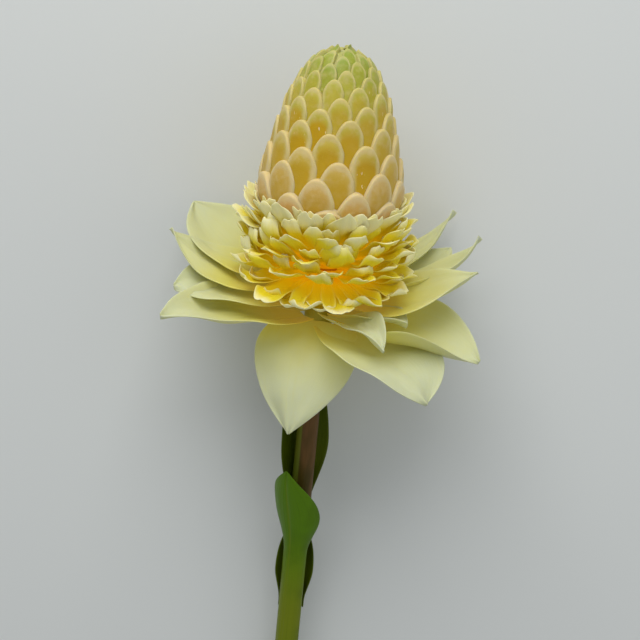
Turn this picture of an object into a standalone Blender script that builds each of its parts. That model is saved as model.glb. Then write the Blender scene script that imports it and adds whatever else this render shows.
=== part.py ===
"""A cut torch ginger flower, laid down on a table.

The flower is modelled in its own frame first: X to the right, Y along the stalk towards
the tip of the cone, Z towards the side that faces up, with the origin on the stalk's axis
at the foot of the cone. It is then tipped so that the cut end of the stem and the bracts
behind the head rest on the table, which is the plane Z = 0, and centred on its footprint.
"""

import math
import random
from typing import NamedTuple

import bmesh
import bpy
from mathutils import Matrix, Vector

# Driving dimensions, in metres and degrees
CONE_TIP = 0.0765
STEM_END = -0.3630
STEM_RADIUS = 0.0062
STEM_JOINT = -0.3050
CORE_RADIUS = 0.0080
CORE_TOP = -0.0335
CORE_BOTTOM = -0.0830
TILT = 9.5
SEAT_GAP = 0.0003
GOLDEN_ANGLE = 137.508
AXIAL = Vector((0.0, 1.0, 0.0))

# Outline of the cone's core: height along the axis and radius
CONE_OUTLINE = (
    (-0.0330, 0.0090),
    (-0.0130, 0.0220),
    (-0.0060, 0.0340),
    (0.0020, 0.0385),
    (0.0128, 0.0362),
    (0.0306, 0.0318),
    (0.0483, 0.0270),
    (0.0571, 0.0230),
    (0.0657, 0.0182),
    (0.0710, 0.0135),
    (0.0745, 0.0070),
)
CONE_SIDES = 18
STALK_SIDES = 20
SCALE_LOWEST = 0.0050
SCALE_COVER = 0.60
SCALE_WIDTH = 0.0195
SCALE_WIDTH_LOST = 0.0110
SCALE_LIFT = 0.0042
SCALE_DEPTH = 0.0078

BRACT_THICKNESS = 0.0009
RUFFLE_THICKNESS = 0.0008
LEAF_THICKNESS = 0.0009
RUFFLE_ROOT = 0.0110
RUFFLE_CUP = 0.14
COLLAR_HEIGHT = 0.0024
BRACT_ROOT = CORE_RADIUS + SEAT_GAP + 0.0003


class RuffleRow(NamedTuple):
    """A ring of small petals: heights and reaches in metres, angles in degrees."""

    count: int
    root: float
    reach: float
    height: float
    launch: float
    arrival: float
    width: float
    droop: float
    tuck: float


class Bract(NamedTuple):
    """A large bract: azimuth from the upper side to the right, then its centre line and blade."""

    azimuth: float
    root: float
    reach: float
    height: float
    launch: float
    arrival: float
    width: float
    cup: float
    twist: float
    clearance: float = 0.0


class Leaf(NamedTuple):
    """A leaf that wraps the stem at its base and opens into a cupped blade."""

    azimuth: float
    base: float
    opening: float
    tip: float
    width: float
    belly: float
    lean: float
    wrap: float
    hold: float


# The rows droop at the front and are tucked in where the head lies on the table
RUFFLE_ROWS = (
    RuffleRow(16, -0.0364, 0.0488, -0.0025, 34, 62, 0.0170, 0.000, 0.00),
    RuffleRow(15, -0.0400, 0.0525, -0.0160, 24, 44, 0.0180, 0.000, 0.00),
    RuffleRow(14, -0.0434, 0.0545, -0.0265, 15, 32, 0.0190, 0.001, 0.03),
    RuffleRow(13, -0.0469, 0.0550, -0.0355, 6, 24, 0.0200, 0.004, 0.08),
    RuffleRow(12, -0.0504, 0.0550, -0.0450, -3, 12, 0.0210, 0.012, 0.14),
)

BRACTS = {
    "bract_front": Bract(-12, -0.0812, 0.0500, -0.1298, -12, -84, 0.058, -0.10, 0),
    "bract_front_right": Bract(46, -0.0798, 0.0850, -0.1085, -10, -50, 0.058, 0.12, 8),
    "bract_right_low": Bract(74, -0.0755, 0.0960, -0.0880, -6, -22, 0.046, 0.14, 12),
    "bract_right_inner": Bract(56, -0.0724, 0.0640, -0.0690, 0, -16, 0.028, 0.16, 0),
    "bract_front_inner": Bract(26, -0.0745, 0.0690, -0.0790, -8, -30, 0.024, 0.22, 0),
    "bract_right": Bract(84, -0.0665, 0.0890, -0.0400, -2, 42, 0.042, 0.12, -6),
    "bract_right_upper": Bract(104, -0.0630, 0.0940, -0.0275, 0, 48, 0.028, 0.14, 0),
    "bract_back_right_low": Bract(122, -0.0720, 0.0850, -0.0450, -4, 34, 0.040, 0.10, 0, 0.0040),
    "bract_back_right": Bract(129, -0.0580, 0.0900, -0.0200, 0, 54, 0.030, 0.10, 0, 0.0065),
    "bract_under_right": Bract(161, -0.0685, 0.0760, -0.0380, 0, 40, 0.042, 0.04, 0),
    "bract_under_left": Bract(-165, -0.0650, 0.0760, -0.0340, 2, 40, 0.042, 0.04, 0),
    "bract_back_left": Bract(-127, -0.0580, 0.0905, -0.0262, 0, 48, 0.054, 0.10, 0, 0.0065),
    "bract_back_left_low": Bract(-122, -0.0740, 0.0840, -0.0520, -6, 32, 0.038, 0.08, 0, 0.0040),
    "bract_left": Bract(-97, -0.0615, 0.0890, -0.0360, -2, 42, 0.046, 0.12, 0),
    "bract_left_low": Bract(-80, -0.0665, 0.0840, -0.0660, 2, -46, 0.048, -0.08, 0),
    "bract_front_left": Bract(-58, -0.0765, 0.0960, -0.0710, -10, 0, 0.052, 0.16, -6),
}

LEAVES = {
    "leaf_front": Leaf(-30, -0.3025, -0.2230, -0.1660, 0.038, 0.0150, 0.0190, 98, 0.0070),
    "leaf_back_upper": Leaf(-150, -0.2060, -0.2000, -0.0960, 0.036, 0.0190, 0.0130, 70, 0.0070),
    "leaf_back_lower": Leaf(178, -0.2640, -0.2600, -0.2080, 0.030, 0.0120, 0.0120, 66, 0.0083),
}


def clear_scene():
    """Remove the objects that the file opens with."""
    for old in list(bpy.data.objects):
        bpy.data.objects.remove(old)


def material(name, color, roughness):
    """Principled material with one colour and roughness."""
    made = bpy.data.materials.new(name)
    made.use_nodes = True
    shader = made.node_tree.nodes["Principled BSDF"]
    shader.inputs["Base Color"].default_value = (*color, 1.0)
    shader.inputs["Roughness"].default_value = roughness
    shader.inputs["Metallic"].default_value = 0.0
    return made


def laid_down():
    """Transform from the flower's own frame to the table."""
    tilt = math.radians(TILT)
    end_height = STEM_RADIUS * math.cos(tilt)
    foot_height = end_height - STEM_END * math.sin(tilt)
    return Matrix.Translation((0, 0, foot_height)) @ Matrix.Rotation(tilt, 4, "X")


def object_from(name, shape, finish, collection=None):
    """Turn a bmesh into a linked object with one material."""
    mesh = bpy.data.meshes.new(name)
    shape.to_mesh(mesh)
    shape.free()
    mesh.materials.append(finish)
    made = bpy.data.objects.new(name, mesh)
    (collection or bpy.context.scene.collection).objects.link(made)
    return made


def radial(azimuth):
    """Unit vector away from the stalk's axis at an azimuth in degrees."""
    angle = math.radians(azimuth)
    return Vector((math.sin(angle), 0.0, math.cos(angle)))


def sideways(azimuth):
    """Unit vector round the stalk's axis at an azimuth in degrees."""
    angle = math.radians(azimuth)
    return Vector((math.cos(angle), 0.0, -math.sin(angle)))


def heading(angle):
    """Unit vector in the plane of reach and height, at an angle in degrees."""
    return Vector((math.cos(math.radians(angle)), math.sin(math.radians(angle))))


def eased(low, high, value):
    """Share that rises smoothly from 0 at low to 1 at high."""
    share = min(max((value - low) / (high - low), 0.0), 1.0)
    return share * share * (3.0 - 2.0 * share)


def profile_point(root, tip, launch, arrival, t):
    """Point and tangent at share t of a petal's centre line, as reach and height."""
    root, tip = Vector(root), Vector(tip)
    handle = (tip - root).length / 3.0
    first = root + heading(launch) * handle
    second = tip - heading(arrival) * handle
    u = 1.0 - t
    point = root * u**3 + first * 3 * u * u * t + second * 3 * u * t * t + tip * t**3
    tangent = (first - root) * u * u + (second - first) * 2 * u * t + (tip - second) * t * t
    return point, tangent.normalized()


def bract_width(t):
    """Share of the full width along a large bract, with a claw and a pointed tip."""
    widest, claw = 0.52, 0.16
    if t < widest:
        return claw + (1.0 - claw) * math.sin(math.pi / 2 * t / widest) ** 1.25
    beyond = (t - widest) / (1.0 - widest)
    return max(1.0 - beyond**2.2, 0.03)


def ruffle_width(t):
    """Share of the full width along a ruffle petal, narrow at the root and blunt."""
    widest, claw = 0.72, 0.20
    if t < widest:
        return claw + (1.0 - claw) * math.sin(math.pi / 2 * t / widest) ** 1.5
    return 1.0 - 0.35 * ((t - widest) / (1.0 - widest)) ** 2


def blade_grid(across, along):
    """Flat grid, cut into triangles, with x from -1 to 1 and y from 0 to 1."""
    shape = bmesh.new()
    bmesh.ops.create_grid(shape, x_segments=across, y_segments=along, size=1.0)
    for vert in shape.verts:
        vert.co.y = (vert.co.y + 1.0) / 2.0
    bmesh.ops.triangulate(shape, faces=shape.faces[:], quad_method="ALTERNATE")
    return shape


def bend_petal(shape, azimuth, root, tip, angles, width, cup, twist, width_share):
    """Lay a flat grid along a petal's centre line, in the flower's own frame."""
    outward, around = radial(azimuth), sideways(azimuth)
    for vert in shape.verts:
        side, t = vert.co.x, vert.co.y
        point, tangent = profile_point(root, tip, *angles, t)
        forward = outward * tangent.x + AXIAL * tangent.y
        upward = AXIAL * tangent.x - outward * tangent.y
        turn = Matrix.Rotation(math.radians(twist * t * t), 3, forward)
        half = width / 2.0 * width_share(t)
        hollow = cup * width * side * side * width_share(t)
        vert.co = outward * point.x + AXIAL * point.y
        vert.co += turn @ (around * (side * half) + upward * hollow)
    return shape


def thicken(made, thickness):
    """Give a sheet its thickness, half on each side."""
    wall = made.modifiers.new("thickness", "SOLIDIFY")
    wall.thickness = thickness
    wall.offset = 0.0
    wall.use_even_offset = False
    return made


def applied(made):
    """Replace an object's mesh by what its modifiers make of it."""
    graph = bpy.context.evaluated_depsgraph_get()
    mesh = bpy.data.meshes.new_from_object(made.evaluated_get(graph))
    made.modifiers.clear()
    made.data = mesh
    return made


def gathered(name):
    """New collection for pieces that are about to be joined."""
    made = bpy.data.collections.new(name)
    bpy.context.scene.collection.children.link(made)
    return made


def fuse(body, collection):
    """Join everything in a collection to a body, then remove the collection."""
    join = body.modifiers.new("join", "BOOLEAN")
    join.operation = "UNION"
    join.operand_type = "COLLECTION"
    join.collection = collection
    join.solver = "MANIFOLD"
    bpy.context.view_layer.update()
    applied(body)
    for piece in list(collection.objects):
        bpy.data.objects.remove(piece)
    bpy.data.collections.remove(collection)
    return body


def turned(outline, sides):
    """Closed solid of revolution about the Y axis, from (height, radius) pairs."""
    shape = bmesh.new()
    points = [shape.verts.new((radius, height, 0.0)) for height, radius in outline]
    edges = [shape.edges.new(pair) for pair in zip(points, points[1:])]
    bmesh.ops.spin(
        shape,
        geom=points + edges,
        axis=AXIAL,
        cent=(0, 0, 0),
        steps=sides,
        angle=2 * math.pi,
        use_merge=True,
        use_duplicate=False,
    )
    bmesh.ops.remove_doubles(shape, verts=shape.verts[:], dist=1e-6)
    bmesh.ops.holes_fill(shape, edges=shape.edges[:], sides=sides + 1)
    bmesh.ops.recalc_face_normals(shape, faces=shape.faces[:])
    return shape


def outline_at(height):
    """Radius of the cone's core at a height, and the direction of its outline there."""
    for (low, r_low), (high, r_high) in zip(CONE_OUTLINE, CONE_OUTLINE[1:]):
        if height <= high:
            break
    share = min(max((height - low) / (high - low), 0.0), 1.0)
    slope = Vector((r_high - r_low, high - low)).normalized()
    return r_low + (r_high - r_low) * share, slope


def scale_width(height):
    """Width of a cone scale whose tip is at a height."""
    share = min(max(height / CONE_TIP, 0.0), 1.0)
    return SCALE_WIDTH - SCALE_WIDTH_LOST * share**1.6


def scale_heights():
    """Heights of the scale tips, so that each scale covers its own share of the surface."""
    heights, height = [], SCALE_LOWEST
    while height < CONE_TIP:
        radius, slope = outline_at(height)
        cover = SCALE_COVER * scale_width(height) ** 2
        heights.append(height)
        height += cover / (2 * math.pi * max(radius, 0.006)) * slope.y
    return heights


def scale_shape(azimuth, tip_height):
    """One cone scale: an arched tongue that stands out of the core, its root sunk in it."""
    width = scale_width(tip_height)
    length = min(width * 1.5, tip_height + 0.002)
    middle_height = tip_height - 0.3 * length
    radius, slope = outline_at(middle_height)
    outward, around = radial(azimuth), sideways(azimuth)
    along = outward * slope.x + AXIAL * slope.y
    away = outward * slope.y - AXIAL * slope.x
    middle = outward * radius + AXIAL * middle_height
    size = width / SCALE_WIDTH
    shape = bmesh.new()
    bmesh.ops.create_grid(shape, x_segments=4, y_segments=2, size=1.0)
    for vert in shape.verts:
        side, t = vert.co.x, (vert.co.y + 1.0) / 2.0
        arch = math.sqrt(max(1.0 - (0.92 * side) ** 2, 0.0))
        reach = t * (0.45 + 0.55 * arch)
        half = width / 2 * (0.80 + 0.20 * t)
        lift = SCALE_LIFT * size * t * (1.0 - 0.4 * side * side)
        sag = (side * half) ** 2 / (2.0 * radius)
        vert.co = middle + along * ((reach - 0.7) * length) + around * (side * half)
        vert.co += away * (lift - sag)
    wall = bmesh.ops.extrude_face_region(shape, geom=shape.faces[:])
    for part in wall["geom"]:
        if isinstance(part, bmesh.types.BMVert):
            part.co -= away * (SCALE_DEPTH * size)
    bmesh.ops.recalc_face_normals(shape, faces=shape.faces[:])
    return shape


def build_cone(finish):
    """Cone of overlapping scales in a spiral, each sunk into the core."""
    noise = random.Random(11)
    cone = object_from("cone", turned(CONE_OUTLINE, CONE_SIDES), finish)
    scales = gathered("scales")
    for index, height in enumerate(scale_heights()):
        azimuth = GOLDEN_ANGLE * index + noise.uniform(-3, 3)
        object_from(f"scale_{index}", scale_shape(azimuth, height), finish, scales)
    return fuse(cone, scales)


def build_collar(name, root, finish):
    """Ring round the core that the petals of one row grow from."""
    low, high = root - COLLAR_HEIGHT / 2, root + COLLAR_HEIGHT / 2
    inner, outer = CORE_RADIUS + SEAT_GAP, RUFFLE_ROOT + 0.0025
    section = ((low, inner), (low, outer), (high, outer), (high, inner), (low, inner))
    return object_from(name, turned(section, STALK_SIDES), finish)


def build_ruffle(finish):
    """Rows of small petals, each row on a collar round the core."""
    noise = random.Random(5)
    rows = []
    for number, row in enumerate(RUFFLE_ROWS, start=1):
        collar = build_collar(f"ruffle_row_{number}", row.root, finish)
        petals = gathered("petals")
        for index in range(row.count):
            azimuth = 360.0 / row.count * (index + 0.5 * (number % 2)) + noise.uniform(-2.5, 2.5)
            facing = math.cos(math.radians(azimuth))
            reach = row.reach * noise.uniform(0.97, 1.02) * (1 - row.tuck * max(-facing, 0.0))
            height = row.height - row.droop * max(facing, 0.0) + noise.uniform(-0.001, 0.001)
            blade = bend_petal(
                blade_grid(2, 3),
                azimuth,
                (RUFFLE_ROOT, row.root),
                (reach, height),
                (row.launch, row.arrival),
                row.width * noise.uniform(0.94, 1.05),
                RUFFLE_CUP,
                noise.uniform(-14, 14),
                ruffle_width,
            )
            thicken(object_from(f"petal_{index}", blade, finish, petals), RUFFLE_THICKNESS)
        rows.append(fuse(collar, petals))
    return rows


def rest_on_table(shape, to_table, clearance):
    """Bend the part of a bract that would go through the table so that it lies on it."""
    least = BRACT_THICKNESS / 2 + clearance
    back = to_table.inverted()
    for vert in shape.verts:
        placed = to_table @ vert.co
        if placed.z < least:
            placed.z = least
            vert.co = back @ placed


def build_bracts(finish, to_table):
    """Large bracts round the foot of the ruffle, each its own blade."""
    made = []
    for name, bract in BRACTS.items():
        blade = bend_petal(
            blade_grid(4, 7),
            bract.azimuth,
            (BRACT_ROOT, bract.root),
            (bract.reach, bract.height),
            (bract.launch, bract.arrival),
            bract.width,
            bract.cup,
            bract.twist,
            bract_width,
        )
        rest_on_table(blade, to_table, bract.clearance)
        made.append(thicken(object_from(name, blade, finish), BRACT_THICKNESS))
    return made


def leaf_blade(leaf):
    """Sheet of one leaf, whose cross-section is an arc that widens as the leaf opens."""
    shape = blade_grid(6, 8)
    outward, around = radial(leaf.azimuth), sideways(leaf.azimuth)
    length = leaf.tip - leaf.opening
    for vert in shape.verts:
        side, height = vert.co.x, leaf.base + (leaf.tip - leaf.base) * vert.co.y
        spread = eased(leaf.opening, leaf.opening + 0.45 * length, height)
        beyond = max((height - leaf.opening) / length, 0.0)
        arc = leaf.hold + (leaf.belly - leaf.hold) * spread
        wrapped = leaf.hold * math.radians(leaf.wrap)
        half = wrapped + (leaf.width / 2 - wrapped) * spread
        half = max(half * (1.0 - max((beyond - 0.42) / 0.58, 0.0) ** 2.1), 0.0006)
        stand = leaf.hold + (leaf.lean - leaf.hold) * eased(leaf.opening, leaf.tip, height)
        angle = side * half / arc
        vert.co = outward * (stand - arc + arc * math.cos(angle))
        vert.co += around * (arc * math.sin(angle)) + AXIAL * height
    return shape


def build_leaves(front_finish, back_finish):
    """Three leaves on the stem: one on the upper side, and two behind it."""
    made = []
    for name, leaf in LEAVES.items():
        finish = front_finish if name == "leaf_front" else back_finish
        made.append(thicken(object_from(name, leaf_blade(leaf), finish), LEAF_THICKNESS))
    return made


def build_stem(finish):
    """Stem with its cut end, thicker where the bracts and the ruffle are seated."""
    outline = (
        (STEM_END, 0.0),
        (STEM_END, STEM_RADIUS),
        (STEM_JOINT - 0.0020, STEM_RADIUS),
        (STEM_JOINT, STEM_RADIUS + 0.0007),
        (STEM_JOINT + 0.0020, STEM_RADIUS),
        (CORE_BOTTOM - 0.0130, STEM_RADIUS),
        (CORE_BOTTOM, CORE_RADIUS),
        (CORE_TOP, CORE_RADIUS),
        (CORE_TOP, 0.0),
    )
    return object_from("stem", turned(outline, STALK_SIDES), finish)


def place_on_table(pieces, to_table):
    """Lay the pieces down, then centre their common footprint on the origin."""
    bpy.context.view_layer.update()
    graph = bpy.context.evaluated_depsgraph_get()
    corners = []
    for piece in pieces:
        piece.data.transform(to_table)
    bpy.context.view_layer.update()
    for piece in pieces:
        shown = piece.evaluated_get(graph)
        corners += [vert.co.copy() for vert in shown.data.vertices]
    middle_x = (min(c.x for c in corners) + max(c.x for c in corners)) / 2
    middle_y = (min(c.y for c in corners) + max(c.y for c in corners)) / 2
    for piece in pieces:
        piece.data.transform(Matrix.Translation((-middle_x, -middle_y, 0.0)))


def main():
    """Build the flower, lay it down and centre it on its own footprint."""
    clear_scene()
    cone_finish = material("cone_scales", (0.86, 0.66, 0.30), 0.45)
    ruffle_finish = material("ruffle_petals", (0.90, 0.76, 0.30), 0.55)
    bract_finish = material("bract_petals", (0.86, 0.86, 0.60), 0.5)
    stem_finish = material("stem_skin", (0.20, 0.26, 0.05), 0.5)
    leaf_finish = material("leaf_light", (0.14, 0.24, 0.03), 0.45)
    dark_finish = material("leaf_dark", (0.03, 0.06, 0.015), 0.4)
    to_table = laid_down()
    made = [build_cone(cone_finish), build_stem(stem_finish)]
    made += build_ruffle(ruffle_finish)
    made += build_bracts(bract_finish, to_table)
    made += build_leaves(leaf_finish, dark_finish)
    place_on_table(made, to_table)


main()
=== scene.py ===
"""Looks of a cut torch ginger flower that lies on a pale table.

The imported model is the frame. Every piece is modelled in the flower's own frame first: X to
the right, Y along the stalk towards the tip of the cone, Z towards the side that faces up,
with the origin on the stalk's axis at the foot of the cone. FlowerFrame then lays it down
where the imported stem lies.
"""

import logging
import math
import random
from collections.abc import Callable, Sequence
from dataclasses import dataclass, field, replace
from enum import Enum

import bmesh
import bpy
from mathutils import Matrix, Vector, noise


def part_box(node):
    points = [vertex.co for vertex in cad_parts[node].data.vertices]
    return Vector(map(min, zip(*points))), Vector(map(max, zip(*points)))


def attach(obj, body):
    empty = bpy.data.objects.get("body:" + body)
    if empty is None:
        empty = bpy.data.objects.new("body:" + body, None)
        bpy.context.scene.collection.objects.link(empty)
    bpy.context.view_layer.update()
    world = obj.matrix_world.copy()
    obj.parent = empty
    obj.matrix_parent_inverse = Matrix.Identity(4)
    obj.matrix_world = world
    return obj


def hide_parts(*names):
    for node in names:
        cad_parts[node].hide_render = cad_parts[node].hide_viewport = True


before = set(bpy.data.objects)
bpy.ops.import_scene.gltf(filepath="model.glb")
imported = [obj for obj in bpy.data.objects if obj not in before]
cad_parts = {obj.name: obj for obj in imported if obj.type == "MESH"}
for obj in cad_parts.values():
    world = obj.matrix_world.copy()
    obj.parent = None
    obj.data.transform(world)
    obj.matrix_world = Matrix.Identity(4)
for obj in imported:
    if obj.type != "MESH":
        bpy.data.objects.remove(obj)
LOG = logging.getLogger("torch_ginger")
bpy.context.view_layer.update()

# Places and radii that the part's source has too, in metres in the flower's own frame
STEM_END = -0.3630
STEM_RADIUS = 0.0062
CORE_RADIUS = 0.0080
CORE_BOTTOM = -0.0830
CORE_TOP = -0.0335
SEAT_GAP = 0.0003

AXIAL = Vector((0.0, 1.0, 0.0))
FULL_TURN = 2 * math.pi
GOLDEN_ANGLE = 137.508
TINY = 1e-6

# Where along a blade, from 0 at its root to 1 at its tip, each of its forms sets in
NOTCH_SPAN = (0.45, 1.0)
FACE_SPAN = (0.0, 0.45)
WAVE_SPAN = (0.25, 0.9)
ROLL_SPAN = (0.15, 0.6)
CRINKLE_SPAN = (0.1, 0.5)
CREASE_END_SPAN = (0.55, 1.0)

# Places and reaches across a blade, as shares of its half width
ROLL_START = 0.35
NOTCH_PLACE, NOTCH_REACH = 0.15, 0.26
CREASE_REACH = 0.10

# How steeply waves grow towards a blade's edge, how many turns apart they are on its two
# sides, and how far a curled tip draws back
WAVE_STEEPNESS = 1.6
SIDES_APART = 0.37
CURL_BACK = 0.45

# How fast a blade's crinkles change across it, along it and from one azimuth to another
CRINKLE_ACROSS, CRINKLE_ALONG, CRINKLE_ROUND = 1.7, 4.0, 0.37

# A blade's outline: how it fills out, a bract's least width, and a ruffle petal's loss
FILLING_OUT = 1.2
POINT_WIDTH = 0.02
BLUNT_LOSS = 0.42

# Half of the photograph's frame, in pixels
HALF_FRAME = 320

# A Mix node's colour sockets by number, because their names repeat
MIX_SHARE, MIX_FIRST, MIX_SECOND, MIX_RESULT = 0, 6, 7, 2

Color = tuple[float, float, float]
Pair = tuple[float, float]
Stops = list[tuple[float, Color]]


def paint(red: int, green: int, blue: int) -> Color:
    """Turn a colour from 0 to 255, as a screen shows it, into linear light.

    Args:
        red: Red share.
        green: Green share.
        blue: Blue share.

    Returns:
        The colour as linear values from 0 to 1.
    """
    shares = [value / 255 for value in (red, green, blue)]
    return tuple(s / 12.92 if s < 0.04045 else ((s + 0.055) / 1.055) ** 2.4 for s in shares)


def radial(azimuth: float) -> Vector:
    """Unit vector away from the stalk's axis at an azimuth in degrees."""
    return Vector((math.sin(math.radians(azimuth)), 0.0, math.cos(math.radians(azimuth))))


def sideways(azimuth: float) -> Vector:
    """Unit vector round the stalk's axis at an azimuth in degrees."""
    return Vector((math.cos(math.radians(azimuth)), 0.0, -math.sin(math.radians(azimuth))))


def heading(angle: float) -> Vector:
    """Unit vector in the plane of reach and height, at an angle in degrees."""
    return Vector((math.cos(math.radians(angle)), math.sin(math.radians(angle))))


def eased(low: float, high: float, value: float) -> float:
    """Share that rises smoothly from 0 at low to 1 at high."""
    share = min(max((value - low) / (high - low), 0.0), 1.0)
    return share * share * (3.0 - 2.0 * share)


def bump(value: float, centre: float, width: float) -> float:
    """Bell shape that is 1 at its centre."""
    return math.exp(-(((value - centre) / width) ** 2))


def turned_round(shape: bmesh.types.BMesh, profile: Sequence[Pair], steps: int) -> None:
    """Spin a profile once round the stalk's axis.

    Args:
        shape: The bmesh that gets the faces.
        profile: Heights and radii, from one end of the profile to the other.
        steps: Faces round the axis.
    """
    points = [shape.verts.new((radius, height, 0.0)) for height, radius in profile]
    edges = [shape.edges.new(pair) for pair in zip(points, points[1:])]
    bmesh.ops.spin(
        shape,
        geom=points + edges,
        axis=AXIAL,
        cent=(0, 0, 0),
        steps=steps,
        angle=FULL_TURN,
        use_merge=True,
        use_duplicate=False,
    )


@dataclass(frozen=True)
class FlowerFrame:
    """The flower's own frame, and how it lies on the table."""

    tilt: float = 9.5

    def to_table(self) -> Matrix:
        """Work out the transform from the flower's frame to the table.

        Returns:
            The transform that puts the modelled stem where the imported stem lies.
        """
        tilt = math.radians(self.tilt)
        end_height = STEM_RADIUS * math.cos(tilt)
        foot_height = end_height - STEM_END * math.sin(tilt)
        laid = Matrix.Translation((0, 0, foot_height)) @ Matrix.Rotation(tilt, 4, "X")
        modelled_end = (laid @ Vector((0, STEM_END, STEM_RADIUS))).y
        packed_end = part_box("stem")[0].y
        return Matrix.Translation((0, packed_end - modelled_end, 0)) @ laid


PLACE = FlowerFrame().to_table()


class Value:
    """A number in a material, on which Python's operators add Math nodes."""

    def __init__(self, nodes: "NodeWriter", socket: bpy.types.NodeSocket) -> None:
        """Wrap a socket of the material that a writer fills."""
        self.nodes = nodes
        self.socket = socket

    def _math(self, operation: str, first: object, second: object = 0.0) -> "Value":
        """Add one Math node and return its result."""
        made = self.nodes.add("ShaderNodeMath", {"operation": operation}, {0: first, 1: second})
        return Value(self.nodes, made.outputs[0])

    def __add__(self, other: object) -> "Value":
        """Sum of two values."""
        return self._math("ADD", self, other)

    def __radd__(self, other: object) -> "Value":
        """Sum of two values."""
        return self._math("ADD", other, self)

    def __sub__(self, other: object) -> "Value":
        """Difference of two values."""
        return self._math("SUBTRACT", self, other)

    def __rsub__(self, other: object) -> "Value":
        """Difference of two values."""
        return self._math("SUBTRACT", other, self)

    def __mul__(self, other: object) -> "Value":
        """Product of two values."""
        return self._math("MULTIPLY", self, other)

    def __rmul__(self, other: object) -> "Value":
        """Product of two values."""
        return self._math("MULTIPLY", other, self)

    def distance(self, other: float) -> "Value":
        """Distance between this value and a number."""
        return self._math("ABSOLUTE", self - other)

    def between(self, low: float, high: float) -> "Value":
        """Work out a share that rises smoothly with this value.

        Args:
            low: Where the share leaves 0.
            high: Where it reaches 1.

        Returns:
            The share.
        """
        settings = {"interpolation_type": "SMOOTHSTEP"}
        made = self.nodes.add("ShaderNodeMapRange", settings, {0: self, 1: low, 2: high})
        return Value(self.nodes, made.outputs[0])


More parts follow.
